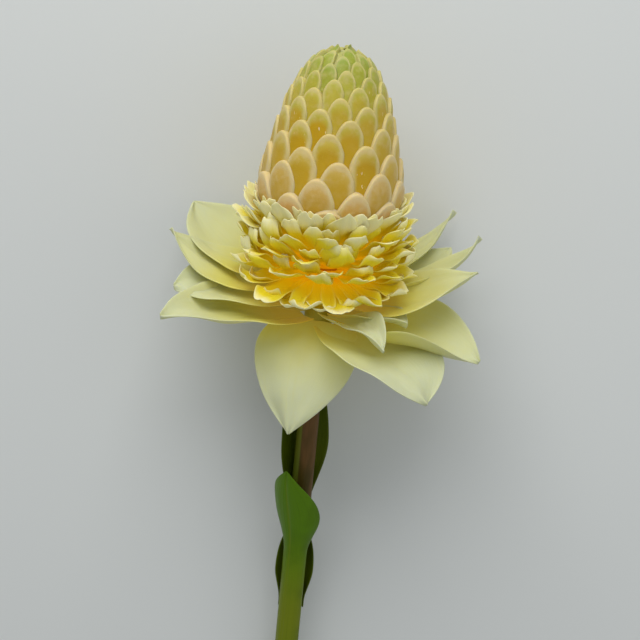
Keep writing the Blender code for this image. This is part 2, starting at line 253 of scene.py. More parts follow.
class NodeWriter:
    """Fills one material with nodes."""

    def __init__(self, name: str) -> None:
        """Start a material with a Principled shader.

        Args:
            name: The material's name.
        """
        self.material = bpy.data.materials.new(name)
        self.material.use_nodes = True
        self.tree = self.material.node_tree
        self.shader = self.tree.nodes["Principled BSDF"]

    def add(
        self,
        kind: str,
        settings: dict[str, object] | None = None,
        sockets: dict[int | str, object] | None = None,
    ) -> bpy.types.Node:
        """Add a node, set it up, then give its sockets values or links.

        Args:
            kind: The node's type.
            settings: Properties, such as a Math node's operation or a ramp's stops.
            sockets: Values, colours, sockets or Value objects by socket name or number.

        Returns:
            The new node.
        """
        made = self.tree.nodes.new(kind)
        for name, value in (settings or {}).items():
            if name == "stops":
                self._set_stops(made.color_ramp, value)
            else:
                setattr(made, name, value)
        for key, value in (sockets or {}).items():
            self.feed(made.inputs[key], value)
        return made

    def _set_stops(self, ramp: bpy.types.ColorRamp, stops: Stops) -> None:
        """Give a ramp its stops.

        Args:
            ramp: A new ramp, which has two stops.
            stops: Places from 0 to 1, and the colour at each.
        """
        while len(ramp.elements) < len(stops):
            ramp.elements.new(0.5)
        for element, (place, color) in zip(ramp.elements, stops):
            element.position = place
            element.color = (*color, 1.0)

    def feed(self, socket: bpy.types.NodeSocket, value: object) -> None:
        """Link a socket, or set its value.

        Args:
            socket: The socket to feed.
            value: A Value or socket to link, or a number or colour to set.
        """
        if isinstance(value, Value):
            value = value.socket
        if isinstance(value, bpy.types.NodeSocket):
            self.tree.links.new(value, socket)
        elif isinstance(value, tuple) and len(value) == 3 and socket.type == "RGBA":
            socket.default_value = (*value, 1.0)
        else:
            socket.default_value = value

    def finish(self, **values: object) -> bpy.types.Material:
        """Feed the Principled shader's sockets.

        Args:
            values: What each socket gets, by its name in small letters with underscores.

        Returns:
            The finished material.
        """
        sockets = {socket.name.lower(): socket for socket in self.shader.inputs}
        for name, value in values.items():
            self.feed(sockets[name.replace("_", " ")], value)
        return self.material

    def along_and_across(self) -> tuple[Value, Value]:
        """Read a blade's UV map.

        Returns:
            The share across the blade, from edge to edge, and along it, from its root.
        """
        uv = self.add("ShaderNodeUVMap", {"uv_map": "blade"})
        parts = self.add("ShaderNodeSeparateXYZ", None, {0: uv.outputs[0]})
        return Value(self, parts.outputs[0]), Value(self, parts.outputs[1])

    def attribute(self, name: str) -> Value:
        """One number that the piece carries on its points."""
        made = self.add("ShaderNodeAttribute", {"attribute_name": name})
        return Value(self, made.outputs["Fac"])

    def grain(self, scale: float, detail: float, stretch: Color = (1.0, 1.0, 1.0)) -> Value:
        """Lay noise on the object's own coordinates.

        Args:
            scale: How fine the noise is.
            detail: How many finer layers it has.
            stretch: Scale along X, Y and Z, where the noise isn't the same in each.

        Returns:
            The noise, from 0 to 1.
        """
        place = self.add("ShaderNodeTexCoord")
        turned = self.add("ShaderNodeMapping", None, {0: place.outputs["Object"], 3: stretch})
        sockets = {"Vector": turned.outputs[0], "Scale": scale, "Detail": detail}
        made = self.add("ShaderNodeTexNoise", None, sockets)
        return Value(self, made.outputs["Fac"])

    def streaks(self, across: Value, along: Value, count: float, wander: float) -> Value:
        """Draw fine lines that run along a blade.

        Args:
            across: Share across the blade.
            along: Share along it.
            count: How many lines there are.
            wander: How much they change on their way.

        Returns:
            The lines, from 0 to 1.
        """
        line = self.add("ShaderNodeCombineXYZ", None, {0: across * count, 1: along * wander})
        sockets = {"Vector": line.outputs[0], "Scale": 1.0, "Detail": 3.0}
        made = self.add("ShaderNodeTexNoise", None, sockets)
        return Value(self, made.outputs["Fac"])

    def ramp(self, value: Value, stops: Stops) -> bpy.types.NodeSocket:
        """Colour that follows a value through stops."""
        made = self.add("ShaderNodeValToRGB", {"stops": stops}, {0: value})
        return made.outputs[0]

    def mix(self, share: Value, first: object, second: object) -> bpy.types.NodeSocket:
        """Mix two colours.

        Args:
            share: Share of the second colour.
            first: Colour, or the socket of one.
            second: Colour, or the socket of one.

        Returns:
            The mixed colour's socket.
        """
        sockets = {MIX_SHARE: share, MIX_FIRST: first, MIX_SECOND: second}
        made = self.add("ShaderNodeMix", {"data_type": "RGBA"}, sockets)
        return made.outputs[MIX_RESULT]

    def relief(self, height: Value, strength: float, distance: float) -> bpy.types.NodeSocket:
        """Normal that a height gives."""
        sockets = {"Strength": strength, "Distance": distance, "Height": height}
        return self.add("ShaderNodeBump", None, sockets).outputs[0]


@dataclass(frozen=True)
class ScaleFinish:
    """Soft, slightly glossy foam of the cone: peach below, yellow above, green at the top.

    Each scale has an amber heart, partly the foam's own colour and partly painted shade just
    above the tips of the scales below it, a pale frosted rim and a few painted glints, which
    are painted highlights. The numbers after the colours are how fine the painted glints, the
    frost and the pores are.
    """

    peach: Color = paint(216, 172, 104)
    ochre: Color = paint(206, 178, 74)
    lime: Color = paint(190, 182, 66)
    green: Color = paint(144, 160, 50)
    rim: Color = paint(224, 204, 152)
    amber_and_shade: Color = paint(198, 158, 14)
    painted_glint: Color = (1.0, 0.93, 0.62)
    painted_glints: float = 700.0
    frost: float = 240.0
    pores: float = 1400.0
    gloss: float = 0.36

    def material(self) -> bpy.types.Material:
        """Write the material.

        Returns:
            A material whose amber heart and pale rim follow each scale.
        """
        nodes = NodeWriter("cone_scales")
        across, along = nodes.along_and_across()
        rise, tone = nodes.attribute("rise"), nodes.attribute("tone")
        # From the foot of the cone to its top
        stops = [(0.0, self.peach), (0.34, self.ochre), (0.74, self.lime), (0.97, self.green)]
        color = nodes.ramp(rise + (tone - 0.5) * 0.10, stops)
        # The heart lies low in the scale, and is strongest halfway up the cone. Its amber is
        # partly the foam's own colour and partly painted shade above the lower scales' tips
        edge = across.distance(0.5) * 2.0
        low = 1.0 - along.between(0.62, 0.88)
        middle = 1.0 - rise.distance(0.44).between(0.14, 0.50)
        heart_and_shade = (1.0 - edge.between(0.45, 0.85)) * low * (middle * 0.85 + 0.10)
        heart_and_shade = heart_and_shade * (0.60 + tone * 0.6)
        color = nodes.mix(heart_and_shade, color, self.amber_and_shade)
        # Painted glints: pale specks in the amber of some scales, painted highlights
        painted_glints = nodes.grain(self.painted_glints, 1.0, (2.0, 0.4, 2.0)).between(0.71, 0.74)
        painted_glints = painted_glints * heart_and_shade * tone.between(0.62, 0.70)
        color = nodes.mix(painted_glints * 0.8, color, self.painted_glint)
        # The rim and the frost fade towards the top
        rim = edge.between(0.50, 0.84) + along.between(0.80, 0.94)
        color = nodes.mix(rim.between(0.0, 1.3) * (0.90 - rise * 0.50), color, self.rim)
        frost = nodes.grain(self.frost, 4.0).between(0.42, 0.72)
        color = nodes.mix(frost * (1.0 - heart_and_shade) * (0.46 - rise * 0.2), color, self.rim)
        pores = nodes.grain(self.pores, 2.0)
        return nodes.finish(
            base_color=color,
            roughness=self.gloss + pores * 0.10,
            normal=nodes.relief(pores, 0.30, 0.0005),
            subsurface_weight=0.30,
            subsurface_radius=(1.0, 0.75, 0.25),
            subsurface_scale=0.004,
            specular_ior_level=0.30,
        )


@dataclass(frozen=True)
class PetalFinish:
    """Dyed cloth petal: one colour at the root, another along the blade, pale at the tip.

    The stops are the four colours' places along the petal. Vein is how strongly the body's
    colour shows in the veins, and glow how far light spreads inside. The strength after glow
    is that of a painted glow: light of the body's colour that the petal gives off near its
    root, painted light in place of light that comes through the cloth. Veins, cloud and
    weave are how fine those are.
    """

    name: str
    root: Color
    body: Color
    blade: Color
    tip: Color
    stops: tuple[float, float, float, float]
    vein: float = 0.10
    glow: float = 0.25
    painted_glow: float = 0.10
    veins: float = 26.0
    cloud: float = 60.0
    weave: float = 2600.0
    gloss: float = 0.46

    def material(self) -> bpy.types.Material:
        """Write the material.

        Returns:
            A material whose colour runs from root to tip with fine veins along the blade.
        """
        nodes = NodeWriter(self.name)
        across, along = nodes.along_and_across()
        tone = nodes.attribute("tone")
        lines = nodes.streaks(across, along, self.veins, 2.2)
        cloud = nodes.grain(self.cloud, 3.0)
        # The colours' borders wander with the cloth's tone, cloudiness and veins
        place = along + nodes.attribute("rise") + (tone - 0.5) * 0.16
        place = place + (cloud - 0.5) * 0.22 + (lines - 0.5) * 0.10
        colors = (self.root, self.body, self.blade, self.tip)
        color = nodes.ramp(place, list(zip(self.stops, colors)))
        edge = (across.distance(0.5) * 2.0).between(0.80, 1.0) * 0.30 * along
        color = nodes.mix(edge, color, self.tip)
        color = nodes.mix(lines.between(0.50, 0.72) * self.vein, color, self.body)
        weave = nodes.grain(self.weave, 1.0)
        height = lines * 0.7 + weave * 0.3
        # Painted glow near the root: emitted body colour in place of light through the cloth
        painted_glow_share = 1.0 - along.between(0.10, 0.85)
        return nodes.finish(
            base_color=color,
            roughness=self.gloss + lines * 0.14,
            normal=nodes.relief(height, 0.35, 0.0006),
            subsurface_weight=self.glow,
            subsurface_radius=(1.0, 0.85, 0.35),
            subsurface_scale=0.003,
            specular_ior_level=0.20,
            emission_color=nodes.mix(painted_glow_share, (0.0, 0.0, 0.0), self.body),
            emission_strength=self.painted_glow,
        )


@dataclass(frozen=True)
class LeafFinish:
    """Waxy green leaf, lighter at its base, with ribs along it.

    Ribs and cloud are how fine those are.
    """

    name: str
    base: Color
    blade: Color
    edge: Color
    gloss: float = 0.34
    ribs: float = 30.0
    cloud: float = 45.0

    def material(self) -> bpy.types.Material:
        """Write the material.

        Returns:
            A material with ribs that run along the leaf and a lighter midrib.
        """
        nodes = NodeWriter(self.name)
        across, along = nodes.along_and_across()
        lines = nodes.streaks(across, along, self.ribs, 1.4)
        cloud = nodes.grain(self.cloud, 3.0)
        color = nodes.mix(along.between(0.25, 0.72), self.base, self.blade)
        color = nodes.mix(cloud.between(0.42, 0.70) * 0.40, color, self.edge)
        midrib = 1.0 - across.distance(0.5).between(0.005, 0.035)
        color = nodes.mix(midrib * 0.35, color, self.base)
        color = nodes.mix(lines.between(0.50, 0.75) * 0.25, color, self.edge)
        return nodes.finish(
            base_color=color,
            roughness=self.gloss + lines * 0.12,
            normal=nodes.relief(lines - midrib * 0.6, 0.35, 0.0007),
            specular_ior_level=0.15,
        )


@dataclass(frozen=True)
class StemFinish:
    """Coated stem: mauve brown under the head, olive on its middle, green lower down.

    A light band runs up one side. The neck and the core are the parts inside the head.
    Streaks and cloud are how fine those are.
    """

    brown: Color = paint(104, 74, 36)
    olive: Color = paint(70, 58, 14)
    green: Color = paint(94, 112, 14)
    band: Color = paint(112, 126, 30)
    neck: Color = paint(184, 176, 66)
    core: Color = paint(226, 160, 24)
    streaks: float = 34.0
    cloud: float = 70.0
    gloss: float = 0.42

    def material(self) -> bpy.types.Material:
        """Write the material.

        Returns:
            A material that changes along the stem, with streaks and a light band.
        """
        nodes = NodeWriter("stem_skin")
        across, along = nodes.along_and_across()
        lines = nodes.streaks(across, along, self.streaks, 5.0)
        cloud = nodes.grain(self.cloud, 3.0, (1.0, 0.25, 1.0))
        brown = nodes.mix(cloud.between(0.40, 0.62), self.olive, self.brown)
        color = nodes.mix(along.between(0.44, 0.56), self.green, brown)
        band = 1.0 - across.distance(0.34).between(0.06, 0.10)
        color = nodes.mix(band * along.between(0.40, 0.60) * 0.7, color, self.band)
        color = nodes.mix(lines.between(0.45, 0.70) * 0.30, color, self.olive)
        color = nodes.mix(along.between(0.82, 0.87), color, self.neck)
        color = nodes.mix(along.between(0.90, 0.94), color, self.core)
        return nodes.finish(
            base_color=color,
            roughness=self.gloss + lines * 0.18,
            normal=nodes.relief(lines, 0.30, 0.0006),
            specular_ior_level=0.2,
        )


@dataclass(frozen=True)
class TableFinish:
    """Smooth, pale tabletop."""

    color: Color = paint(218, 221, 219)
    shade: float = 0.97
    gloss: float = 0.75

    def material(self) -> bpy.types.Material:
        """Write the material.

        Returns:
            A pale, matt material with a faint cloudiness.
        """
        nodes = NodeWriter("table_top")
        cloud = nodes.grain(3.0, 2.0)
        darker = tuple(value * self.shade for value in self.color)
        return nodes.finish(
            base_color=nodes.mix(cloud, self.color, darker),
            roughness=self.gloss + cloud * 0.05,
        )


@dataclass(frozen=True)
class CentreLine:
    """A petal's middle line in the plane of reach and height, as a cubic curve."""

    root: tuple[float, float]
    tip: tuple[float, float]
    launch: float
    arrival: float

    def at(self, share: float) -> tuple[Vector, Vector]:
        """Find a point of the line.

        Args:
            share: Share of the way from root to tip.

        Returns:
            The point and the unit tangent there, as reach and height.
        """
        root, tip = Vector(self.root), Vector(self.tip)
        handle = (tip - root).length / 3.0
        first = root + heading(self.launch) * handle
        second = tip - heading(self.arrival) * handle
        left = 1.0 - share
        near, far = root * left**3 + first * 3 * left * left * share, tip * share**3
        point = near + second * 3 * left * share * share + far
        start, middle, end = first - root, second - first, tip - second
        tangent = start * left * left + middle * 2 * left * share + end * share * share
        return point, tangent.normalized()


class Outline(Enum):
    """How a blade's width changes from its root to its tip."""

    BRACT = "bract"
    RUFFLE = "ruffle"

    def width(self, share: float, claw: float, widest: float, bluntness: float) -> float:
        """Work out how wide a blade is.

        Args:
            share: Share of the way to the tip.
            claw: Share of the full width that it has at its root.
            widest: Share of the way to the tip at which it is widest.
            bluntness: Low for a pointed tip and high for a blunt one.

        Returns:
            The share of the blade's full width.
        """
        if share < widest:
            grown = math.sin(math.pi / 2 * share / widest) ** FILLING_OUT
            return claw + (1.0 - claw) * grown
        beyond = (share - widest) / (1.0 - widest)
        if self is Outline.BRACT:
            return max(1.0 - beyond**bluntness, POINT_WIDTH)
        return 1.0 - BLUNT_LOSS * beyond**bluntness


class Patch:
    """A flat grid with a UV map, which is bent into a petal, a scale or a leaf."""

    def __init__(
        self, across: int, along: int, tone: float, rise: float = 0.0, crowd: bool = False
    ) -> None:
        """Make the grid, from -1 to 1 across and from 0 to 1 along.

        Args:
            across: Faces across the grid.
            along: Faces along the grid.
            tone: Number from 0 to 1 that shades this blade apart from its neighbours.
            rise: Number from 0 to 1 for how far up the head the blade stands.
            crowd: Whether the grid's lines crowd towards its sides and its tip.
        """
        self.shape = bmesh.new()
        uv = self.shape.loops.layers.uv.new("blade")
        tones = self.shape.verts.layers.float.new("tone")
        rises = self.shape.verts.layers.float.new("rise")
        bmesh.ops.create_grid(self.shape, x_segments=across, y_segments=along, size=1.0)
        for vert in self.shape.verts:
            vert.co.y = (vert.co.y + 1.0) / 2.0
            if crowd:
                vert.co.x = math.sin(math.pi / 2 * vert.co.x)
                vert.co.y = math.sin(math.pi / 2 * vert.co.y)
            vert[tones] = tone
            vert[rises] = rise
        for face in self.shape.faces:
            for loop in face.loops:
                loop[uv].uv = ((loop.vert.co.x + 1.0) / 2.0, loop.vert.co.y)

    def bend(self, rule: Callable[[float, float], Vector]) -> "Patch":
        """Move each point of the grid.

        Args:
            rule: Gives a point's new place from its place across and along the grid.

        Returns:
            This patch.
        """
        for vert in self.shape.verts:
            vert.co = rule(vert.co.x, vert.co.y)
        return self


class Gathering:
    """Collects patches of one piece in a single mesh, in the flower's own frame."""

    def __init__(self) -> None:
        """Start with nothing gathered."""
        self.shape = bmesh.new()

    def take(self, shape: bmesh.types.BMesh) -> None:
        """Add a shape to the piece.

        Args:
            shape: The shape, which is freed.
        """
        passing = bpy.data.meshes.new("passing")
        shape.to_mesh(passing)
        shape.free()
        self.shape.from_mesh(passing)
        bpy.data.meshes.remove(passing)

    def piece(
        self, name: str, material: bpy.types.Material, slot: str, *nodes: str
    ) -> bpy.types.Object:
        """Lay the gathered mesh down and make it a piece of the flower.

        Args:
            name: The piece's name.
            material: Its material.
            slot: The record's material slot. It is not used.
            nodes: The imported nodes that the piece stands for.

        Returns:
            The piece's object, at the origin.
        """
        bmesh.ops.transform(self.shape, matrix=PLACE, verts=self.shape.verts[:])
        for face in self.shape.faces:
            face.smooth = True
        mesh = bpy.data.meshes.new(name)
        self.shape.to_mesh(mesh)
        self.shape.free()
        mesh.materials.append(material)
        made = bpy.data.objects.new(name, mesh)
        bpy.context.scene.collection.objects.link(made)
        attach(made, "root")
        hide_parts(*nodes)
        LOG.info("%s: %d faces before its modifiers", name, len(mesh.polygons))
        return made


def thickened(made: bpy.types.Object, thickness: float) -> bpy.types.Object:
    """Give a sheet its thickness and soft edges.

    Args:
        made: The piece, as open sheets.
        thickness: Thickness in metres.

    Returns:
        The same piece, with its modifiers.
    """
    wall = made.modifiers.new("thickness", "SOLIDIFY")
    wall.thickness = thickness
    wall.offset = 0.0
    return smoothed(made)


def smoothed(made: bpy.types.Object) -> bpy.types.Object:
    """Round a piece with one level of subdivision.

    Args:
        made: The piece.

    Returns:
        The same piece, with its modifier.
    """
    soft = made.modifiers.new("soft", "SUBSURF")
    soft.levels = 1
    soft.render_levels = 1
    return made


@dataclass(frozen=True)
class Blade:
    """A petal or bract: where it stands, and how it is cupped, waved, curled and twisted.

    Lengths are in metres and angles in degrees. Cup is how high the sides stand, as a share
    of the width. Twist turns the tip and face turns the whole blade. Lip rolls up the side
    that is further round the stalk where it is above 0, and the other where it is below.
    Curl lifts the tip, from the share curl_start on. Notch and arch cut the tip back at its
    middle and at its corners.
    """

    azimuth: float
    line: CentreLine
    width: float
    outline: Outline
    cup: float = 0.0
    twist: float = 0.0
    wave: float = 0.0
    waves: float = 2.0
    phase: float = 0.0
    curl: float = 0.0
    curl_start: float = 0.72
    face: float = 0.0
    lip: float = 0.0
    claw: float = 0.24
    widest: float = 0.70
    bluntness: float = 2.0
    crease: float = 0.0
    notch: float = 0.0
    arch: float = 0.0
    crinkle: float = 0.0

    def point(self, side: float, along: float) -> Vector:
        """Place one point of the blade.

        Args:
            side: Place across, from -1 to 1.
            along: Place along, from 0 at the root to 1 at the tip.

        Returns:
            The point in the flower's own frame.
        """
        cut = self.notch * bump(side, NOTCH_PLACE, NOTCH_REACH) + self.arch * side * side
        share = along * (1.0 - cut * eased(*NOTCH_SPAN, along))
        centre, tangent = self.line.at(share)
        outward, around = radial(self.azimuth), sideways(self.azimuth)
        forward = outward * tangent.x + AXIAL * tangent.y
        upward = AXIAL * tangent.x - outward * tangent.y
        turned = self.twist * share * share + self.face * eased(*FACE_SPAN, share)
        turn = Matrix.Rotation(math.radians(turned), 3, forward)
        width = self.width * self.outline.width(along, self.claw, self.widest, self.bluntness)
        curled = max((along - self.curl_start) / (1.0 - self.curl_start), 0.0)
        lift = self._relief(side, along, width) + self.curl * curled * curled
        back = CURL_BACK * abs(self.curl) * curled**3
        offset = turn @ (around * (side * width / 2.0) + upward * lift) - forward * back
        return outward * centre.x + AXIAL * centre.y + offset

    def _relief(self, side: float, along: float, width: float) -> float:
        """Work out how far cup, waves, lip, crease and crinkles lift a point.

        Args:
            side: Place across, from -1 to 1.
            along: Place along, from 0 at the root to 1 at the tip.
            width: The blade's width there, in metres.

        Returns:
            The height over the blade's centre line, in metres.
        """
        lift = self.cup * width * side * side
        waved = self.wave * eased(*WAVE_SPAN, along) * abs(side) ** WAVE_STEEPNESS
        lift += waved * self._ripple(side, along)
        rolled = max(math.copysign(side, side * self.lip) - ROLL_START, 0.0)
        lift += abs(self.lip) * width * rolled * rolled * eased(*ROLL_SPAN, along)
        fading = 1.0 - eased(*CREASE_END_SPAN, along)
        lift -= self.crease * bump(side, 0.0, CREASE_REACH) * fading
        grain = (side * CRINKLE_ACROSS, along * CRINKLE_ALONG, self.azimuth * CRINKLE_ROUND)
        lift += self.crinkle * noise.noise(Vector(grain)) * eased(*CRINKLE_SPAN, along)
        return lift

    def _ripple(self, side: float, along: float) -> float:
        """Height of the waved edge, from -1 to 1, different on the two sides."""
        turn = self.waves * along + self.phase + (SIDES_APART if side > 0 else 0.0)
        return math.sin(FULL_TURN * turn)

    def patch(self, across: int, along: int, tone: float, rise: float = 0.0) -> Patch:
        """Make the blade's sheet."""
        return Patch(across, along, tone, rise).bend(self.point)


@dataclass
class Cone:
    """Cone of arched scales in a spiral, on a core that they hide.

    Heights and radii of the core's outline are in metres. A scale's length is a share of its
    width, and the sizes of its rim and belly are those of the largest scale. The powers say
    how late the scales get narrow up the cone, and how late across or along a scale its
    shoulders fall back, its tip narrows and its face lifts.
    """

    tip: float = 0.0765
    outline: tuple[Pair, ...] = (
        (-0.0330, 0.0090),
        (-0.0190, 0.0220),
        (-0.0120, 0.0350),
        (-0.0050, 0.0376),
        (0.0020, 0.0374),
        (0.0128, 0.0352),
        (0.0306, 0.0310),
        (0.0483, 0.0262),
        (0.0571, 0.0224),
        (0.0657, 0.0176),
        (0.0710, 0.0128),
        (0.0742, 0.0075),
        (0.0755, 0.0004),
    )
    sides: int = 48
    across: int = 8
    along: int = 11
    blur: float = 0.0025
    lowest: float = -0.0040
    above: float = 0.0015
    cover: float = 0.53
    least_radius: float = 0.004
    least_slope: float = 0.3
    width: float = 0.0234
    width_lost: float = 0.0152
    width_power: float = 1.6
    length: float = 1.60
    lift: float = 0.0046
    lift_power: float = 1.3
    depth: float = 0.0060
    shoulder: float = 0.33
    shoulder_power: float = 2.5
    root_width: float = 0.86
    widening: float = 0.14
    tip_narrowing: float = 0.10
    tip_power: int = 8
    tip_inset: float = 0.8
    sideways_fall: float = 0.35
    bend_radius: float = 0.007
    middle: float = 0.3
    edge_radius: float = 0.0011
    edge_drop: float = 0.0016
    rim_place: float = 0.0012
    rim_height: float = 0.0004
    belly_height: float = 0.0012
    belly_reach: float = 0.32
    unevenness: float = 0.0005
    flare: float = 0.0012
    seed: int = 11

    def surface(self, height: float) -> tuple[float, Vector]:
        """Find the core's surface at a height.

        Args:
            height: Height above the foot of the cone.

        Returns:
            The radius there, and the outline's direction towards the tip.
        """
        radii = []
        for near in (height - self.blur, height, height + self.blur):
            for (low, r_low), (high, r_high) in zip(self.outline, self.outline[1:]):
                if near <= high:
                    break
            share = min(max((near - low) / (high - low), 0.0), 1.0)
            radii.append(r_low + (r_high - r_low) * share)
        slope = Vector((radii[2] - radii[0], 2 * self.blur)).normalized()
        return (radii[0] + 2 * radii[1] + radii[2]) / 4, slope

    def scale_width(self, height: float) -> float:
        """Width of a scale whose tip is at a height."""
        share = min(max(height / self.tip, 0.0), 1.0)
        return self.width - self.width_lost * share**self.width_power

    def heights(self) -> list[float]:
        """Space the scales so that each covers its own share of the surface.

        Returns:
            The heights of their tips, from the lowest up.
        """
        found, height = [], self.lowest
        while height < self.tip + self.above:
            radius, slope = self.surface(height)
            covered = self.cover * self.scale_width(height) ** 2
            found.append(height)
            girth = FULL_TURN * max(radius, self.least_radius)
            height += covered / girth * max(slope.y, self.least_slope)
        return found

    def scale(self, azimuth: float, tip_height: float, tone: float) -> bmesh.types.BMesh:
        """Model one scale: an arched tongue with a thick round rim and a full belly.

        Args:
            azimuth: Direction from the axis, in degrees.
            tip_height: Height of its tip.
            tone: Number from 0 to 1 that sets its shade.

        Returns:
            A closed shape whose root is sunk in the core.
        """
        width = self.scale_width(tip_height)
        size = width / self.width
        length = width * self.length
        outward, around = radial(azimuth), sideways(azimuth)
        rise = min(max(tip_height / self.tip, 0.0), 1.0)
        _, tip_slope = self.surface(tip_height - self.middle * length)

        def place(side: float, share: float) -> Vector:
            """Place one point of the scale's face.

            Args:
                side: Place across, from -1 to 1.
                share: Place along, from 0 at the root to 1 at the tip.

            Returns:
                The point in the flower's own frame.
            """
            # The shoulders fall back from the tip, and the root is a little narrower
            reach = share * (1.0 - self.shoulder * abs(side) ** self.shoulder_power)
            widened = self.root_width + self.widening * share
            half = width / 2 * (widened - self.tip_narrowing * share**self.tip_power)
            height = tip_height - (1.0 - reach) * length * tip_slope.y
            radius, slope = self.surface(height)
            # The edge is rounded, with a raised rim inside it and then a full belly
            from_tip = (1.0 - share) * length * self.tip_inset
            inset = min((1.0 - abs(side)) * half, from_tip)
            sharpness = 1.0 - min(inset / (self.edge_radius * size), 1.0)
            rounding = math.sqrt(max(1.0 - sharpness**2, 0.0))
            rim = bump(inset, self.rim_place * size, self.edge_radius * size)
            belly = eased(0.0, self.belly_reach * width, inset)
            falling = 1.0 - self.sideways_fall * side * side
            stand = self.lift * size * share**self.lift_power * falling
            relief = self.rim_height * rim + self.belly_height * belly
            stand += size * (relief - self.edge_drop * (1.0 - rounding))
            # Each scale has dents of its own, which its tone picks out of the noise
            spot = Vector((side * 3.0, share * 5.0, tone * 60.0))
            stand += self.unevenness * noise.noise(spot)
            stand += self.flare * rise**3 * share**4
            # The face bends round the core
            stand -= (side * half) ** 2 / (2.0 * max(radius, self.bend_radius))
            away = outward * slope.y - AXIAL * slope.x
            foot = outward * radius + AXIAL * height
            return foot + around * (side * half) + away * stand

        patch = Patch(self.across, self.along, tone, rise, crowd=True)
        shape = patch.bend(place).shape
        inward = AXIAL * tip_slope.x - outward * tip_slope.y
        wall = bmesh.ops.extrude_face_region(shape, geom=shape.faces[:])
        for part in wall["geom"]:
            if isinstance(part, bmesh.types.BMVert):
                part.co += inward * (self.depth * size)
        bmesh.ops.recalc_face_normals(shape, faces=shape.faces[:])
        return shape

    def core(self) -> bmesh.types.BMesh:
        """Model the core that carries the scales.

        Returns:
            A closed shape of the cone's outline.
        """
        shape = bmesh.new()
        shape.loops.layers.uv.new("blade")
        tones = shape.verts.layers.float.new("tone")
        rises = shape.verts.layers.float.new("rise")
        turned_round(shape, self.outline, self.sides)
        bmesh.ops.remove_doubles(shape, verts=shape.verts[:], dist=TINY)
        bmesh.ops.holes_fill(shape, edges=shape.edges[:], sides=self.sides)
        bmesh.ops.recalc_face_normals(shape, faces=shape.faces[:])
        for vert in shape.verts:
            vert[tones] = 0.5
            vert[rises] = min(max(vert.co.y / self.tip, 0.0), 1.0)
        return shape

    def build(self) -> list[bpy.types.Object]:
        """Build the cone.

        Returns:
            The cone's one piece.
        """
        draw, shade = random.Random(self.seed), random.Random(self.seed + 1)
        gathered = Gathering()
        gathered.take(self.core())
        for index, height in enumerate(self.heights()):
            azimuth = GOLDEN_ANGLE * index + draw.uniform(-3, 3)
            gathered.take(self.scale(azimuth, height, shade.random()))
        made = gathered.piece("cone_of_scales", ScaleFinish().material(), "cone_scales", "cone")
        return [smoothed(made)]


@dataclass(frozen=True)
class RuffleRow:
    """A ring of small petals: heights and reaches in metres, angles in degrees.

    Narrower petals stand among them: as many as fillers, which reach the share inner as far
    and stand higher by the height filling. Cream moves the pale tip's colour down the petal.
    """

    count: int
    root: float
    reach: float
    height: float
    launch: float
    arrival: float
    width: float
    droop: float
    tuck: float
    curl: float
    wave: float
    fillers: int
    inner: float
    filling: float
    cream: float


